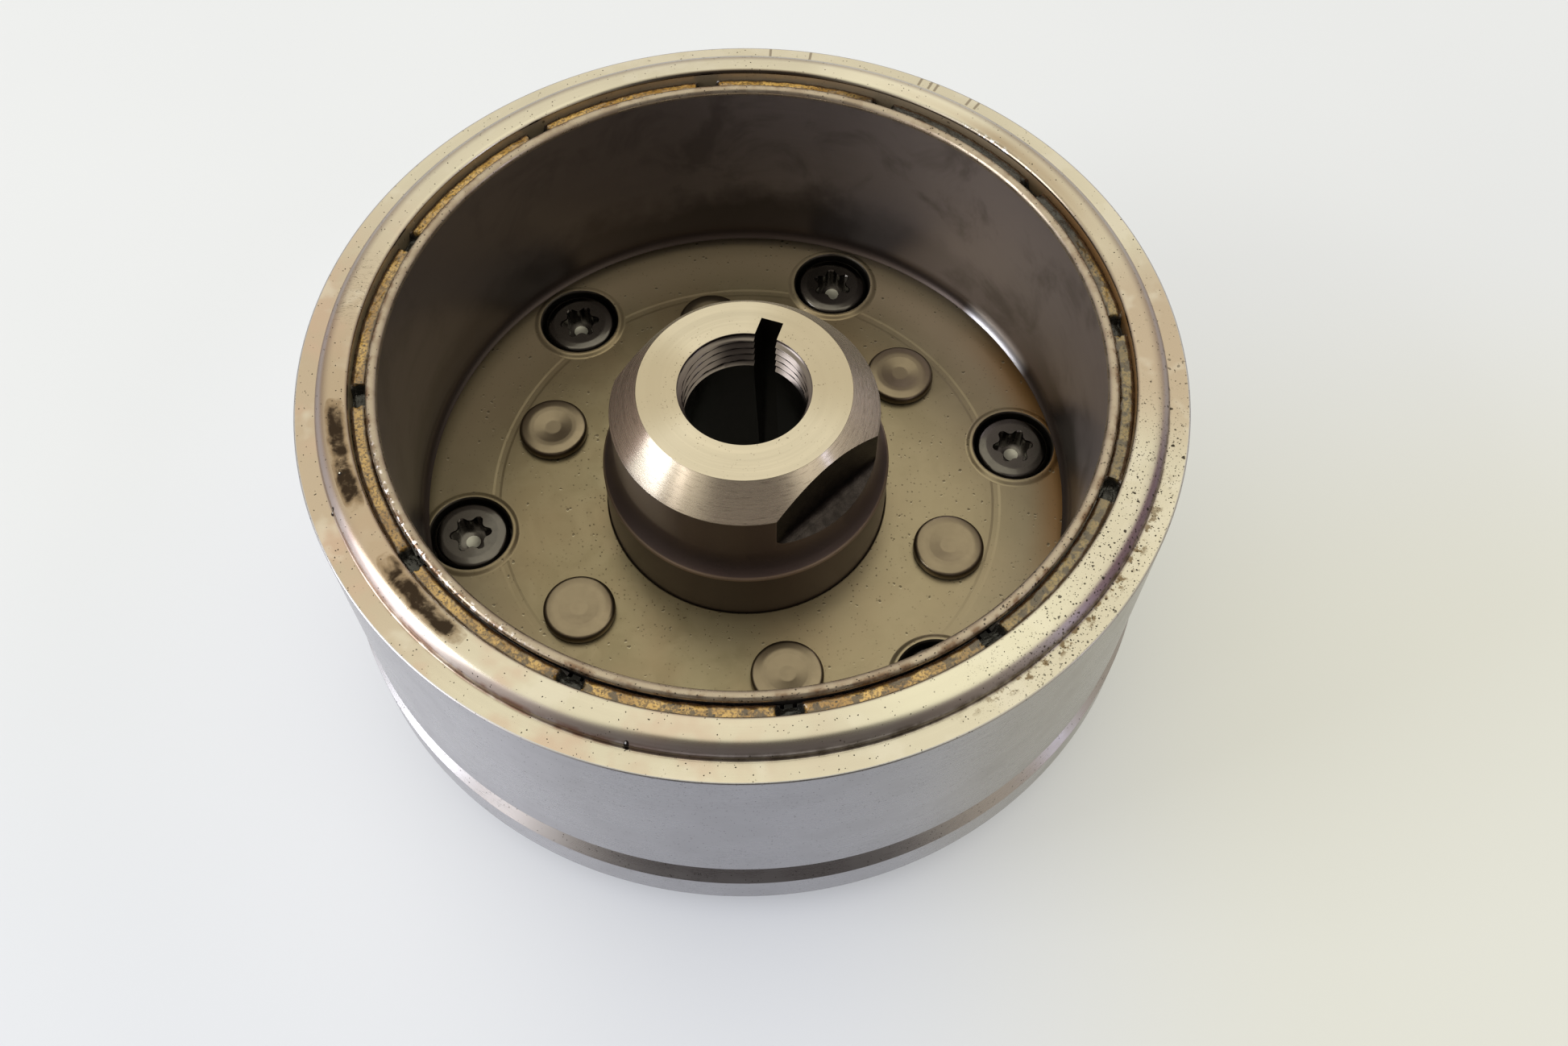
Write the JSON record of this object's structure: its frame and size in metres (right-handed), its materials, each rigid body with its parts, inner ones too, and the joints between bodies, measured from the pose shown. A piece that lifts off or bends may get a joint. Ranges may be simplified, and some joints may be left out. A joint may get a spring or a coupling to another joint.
{
  "type": "alternator flywheel rotor",
  "caption": "Steel magneto flywheel rotor cup with riveted hub, magnets behind a thin sleeve, and a sprag one-way clutch for the starter screwed to its back.",
  "frame": {"origin": "centre of the clutch's back face, which the rotor stands on", "axes": "+Z along the crankshaft axis, towards the open cup; the hub's spanner flats face 47 degrees clockwise of +X and the opposite way"},
  "size_m": [0.1262, 0.1262, 0.0597],
  "materials": {
    "turned_steel": "turned steel, satin, lightly oiled",
    "hub_steel": "turned steel with fine lathe marks",
    "cover_steel": "thin drawn sheet, oily, semi-gloss",
    "magnet_nickel": "nickel-plated magnet, satin",
    "holder_plastic": "black moulded plastic",
    "amber_resin": "speckled amber adhesive, glossy",
    "rivet_steel": "oily steel rivet, satin",
    "black_oxide": "black oxide, oiled",
    "race_steel": "hardened ground steel",
    "sprag_steel": "polished bearing steel",
    "spring_steel": "spring steel"
  },
  "bodies": {
    "rotor": {"rotor_cup": "turned_steel", "hub_boss": "hub_steel", "magnet_cover": "cover_steel", "magnet_holder": "holder_plastic", "magnet_resin": "amber_resin", "magnet_01": "magnet_nickel", "magnet_02": "magnet_nickel", "magnet_03": "magnet_nickel", "magnet_04": "magnet_nickel", "magnet_05": "magnet_nickel", "magnet_06": "magnet_nickel", "magnet_07": "magnet_nickel", "magnet_08": "magnet_nickel", "magnet_09": "magnet_nickel", "magnet_10": "magnet_nickel", "magnet_11": "magnet_nickel", "magnet_12": "magnet_nickel", "rivet_1": "rivet_steel", "rivet_2": "rivet_steel", "rivet_3": "rivet_steel", "rivet_4": "rivet_steel", "rivet_5": "rivet_steel", "rivet_6": "rivet_steel", "clutch_screw_1": "black_oxide", "clutch_screw_2": "black_oxide", "clutch_screw_3": "black_oxide", "clutch_screw_4": "black_oxide", "clutch_screw_5": "black_oxide", "clutch_screw_6": "black_oxide", "clutch_outer_race": "race_steel", "clutch_retaining_ring": "spring_steel"},
    "cage": {"sprag_cage": "race_steel", "garter_spring": "spring_steel"},
    "sprag_01": {"sprag_01": "sprag_steel"},
    "sprag_02": {"sprag_02": "sprag_steel"},
    "sprag_03": {"sprag_03": "sprag_steel"},
    "sprag_04": {"sprag_04": "sprag_steel"},
    "sprag_05": {"sprag_05": "sprag_steel"},
    "sprag_06": {"sprag_06": "sprag_steel"},
    "sprag_07": {"sprag_07": "sprag_steel"},
    "sprag_08": {"sprag_08": "sprag_steel"},
    "sprag_09": {"sprag_09": "sprag_steel"},
    "sprag_10": {"sprag_10": "sprag_steel"},
    "sprag_11": {"sprag_11": "sprag_steel"},
    "sprag_12": {"sprag_12": "sprag_steel"},
    "sprag_13": {"sprag_13": "sprag_steel"},
    "sprag_14": {"sprag_14": "sprag_steel"},
    "sprag_15": {"sprag_15": "sprag_steel"},
    "sprag_16": {"sprag_16": "sprag_steel"}
  },
  "joints": [
    {"name": "cage_turn", "type": "hinge", "parent": "rotor", "child": "cage", "pos_m": [0, 0, 0.0082], "axis": [0, 0, 1], "continuous": true},
    {"name": "sprag_01_tilt", "type": "hinge", "parent": "cage", "child": "sprag_01", "pos_m": [0.0307, 0, 0.0082], "axis": [0, 0, 1], "range_deg": [0, 10], "stiffness_Nm_per_rad": 0.005},
    {"name": "sprag_02_tilt", "type": "hinge", "parent": "cage", "child": "sprag_02", "pos_m": [0.02836, 0.01175, 0.0082], "axis": [0, 0, 1], "range_deg": [0, 10], "stiffness_Nm_per_rad": 0.005},
    {"name": "sprag_03_tilt", "type": "hinge", "parent": "cage", "child": "sprag_03", "pos_m": [0.02171, 0.02171, 0.0082], "axis": [0, 0, 1], "range_deg": [0, 10], "stiffness_Nm_per_rad": 0.005},
    {"name": "sprag_04_tilt", "type": "hinge", "parent": "cage", "child": "sprag_04", "pos_m": [0.01175, 0.02836, 0.0082], "axis": [0, 0, 1], "range_deg": [0, 10], "stiffness_Nm_per_rad": 0.005},
    {"name": "sprag_05_tilt", "type": "hinge", "parent": "cage", "child": "sprag_05", "pos_m": [0, 0.0307, 0.0082], "axis": [0, 0, 1], "range_deg": [0, 10], "stiffness_Nm_per_rad": 0.005},
    {"name": "sprag_06_tilt", "type": "hinge", "parent": "cage", "child": "sprag_06", "pos_m": [-0.01175, 0.02836, 0.0082], "axis": [0, 0, 1], "range_deg": [0, 10], "stiffness_Nm_per_rad": 0.005},
    {"name": "sprag_07_tilt", "type": "hinge", "parent": "cage", "child": "sprag_07", "pos_m": [-0.02171, 0.02171, 0.0082], "axis": [0, 0, 1], "range_deg": [0, 10], "stiffness_Nm_per_rad": 0.005},
    {"name": "sprag_08_tilt", "type": "hinge", "parent": "cage", "child": "sprag_08", "pos_m": [-0.02836, 0.01175, 0.0082], "axis": [0, 0, 1], "range_deg": [0, 10], "stiffness_Nm_per_rad": 0.005},
    {"name": "sprag_09_tilt", "type": "hinge", "parent": "cage", "child": "sprag_09", "pos_m": [-0.0307, 0, 0.0082], "axis": [0, 0, 1], "range_deg": [0, 10], "stiffness_Nm_per_rad": 0.005},
    {"name": "sprag_10_tilt", "type": "hinge", "parent": "cage", "child": "sprag_10", "pos_m": [-0.02836, -0.01175, 0.0082], "axis": [0, 0, 1], "range_deg": [0, 10], "stiffness_Nm_per_rad": 0.005},
    {"name": "sprag_11_tilt", "type": "hinge", "parent": "cage", "child": "sprag_11", "pos_m": [-0.02171, -0.02171, 0.0082], "axis": [0, 0, 1], "range_deg": [0, 10], "stiffness_Nm_per_rad": 0.005},
    {"name": "sprag_12_tilt", "type": "hinge", "parent": "cage", "child": "sprag_12", "pos_m": [-0.01175, -0.02836, 0.0082], "axis": [0, 0, 1], "range_deg": [0, 10], "stiffness_Nm_per_rad": 0.005},
    {"name": "sprag_13_tilt", "type": "hinge", "parent": "cage", "child": "sprag_13", "pos_m": [0, -0.0307, 0.0082], "axis": [0, 0, 1], "range_deg": [0, 10], "stiffness_Nm_per_rad": 0.005},
    {"name": "sprag_14_tilt", "type": "hinge", "parent": "cage", "child": "sprag_14", "pos_m": [0.01175, -0.02836, 0.0082], "axis": [0, 0, 1], "range_deg": [0, 10], "stiffness_Nm_per_rad": 0.005},
    {"name": "sprag_15_tilt", "type": "hinge", "parent": "cage", "child": "sprag_15", "pos_m": [0.02171, -0.02171, 0.0082], "axis": [0, 0, 1], "range_deg": [0, 10], "stiffness_Nm_per_rad": 0.005},
    {"name": "sprag_16_tilt", "type": "hinge", "parent": "cage", "child": "sprag_16", "pos_m": [0.02836, -0.01175, 0.0082], "axis": [0, 0, 1], "range_deg": [0, 10], "stiffness_Nm_per_rad": 0.005}
  ],
  "couplings": [
    {"joint": "sprag_02_tilt", "follows": "sprag_01_tilt", "ratio": 1},
    {"joint": "sprag_03_tilt", "follows": "sprag_01_tilt", "ratio": 1},
    {"joint": "sprag_04_tilt", "follows": "sprag_01_tilt", "ratio": 1},
    {"joint": "sprag_05_tilt", "follows": "sprag_01_tilt", "ratio": 1},
    {"joint": "sprag_06_tilt", "follows": "sprag_01_tilt", "ratio": 1},
    {"joint": "sprag_07_tilt", "follows": "sprag_01_tilt", "ratio": 1},
    {"joint": "sprag_08_tilt", "follows": "sprag_01_tilt", "ratio": 1},
    {"joint": "sprag_09_tilt", "follows": "sprag_01_tilt", "ratio": 1},
    {"joint": "sprag_10_tilt", "follows": "sprag_01_tilt", "ratio": 1},
    {"joint": "sprag_11_tilt", "follows": "sprag_01_tilt", "ratio": 1},
    {"joint": "sprag_12_tilt", "follows": "sprag_01_tilt", "ratio": 1},
    {"joint": "sprag_13_tilt", "follows": "sprag_01_tilt", "ratio": 1},
    {"joint": "sprag_14_tilt", "follows": "sprag_01_tilt", "ratio": 1},
    {"joint": "sprag_15_tilt", "follows": "sprag_01_tilt", "ratio": 1},
    {"joint": "sprag_16_tilt", "follows": "sprag_01_tilt", "ratio": 1}
  ]
}
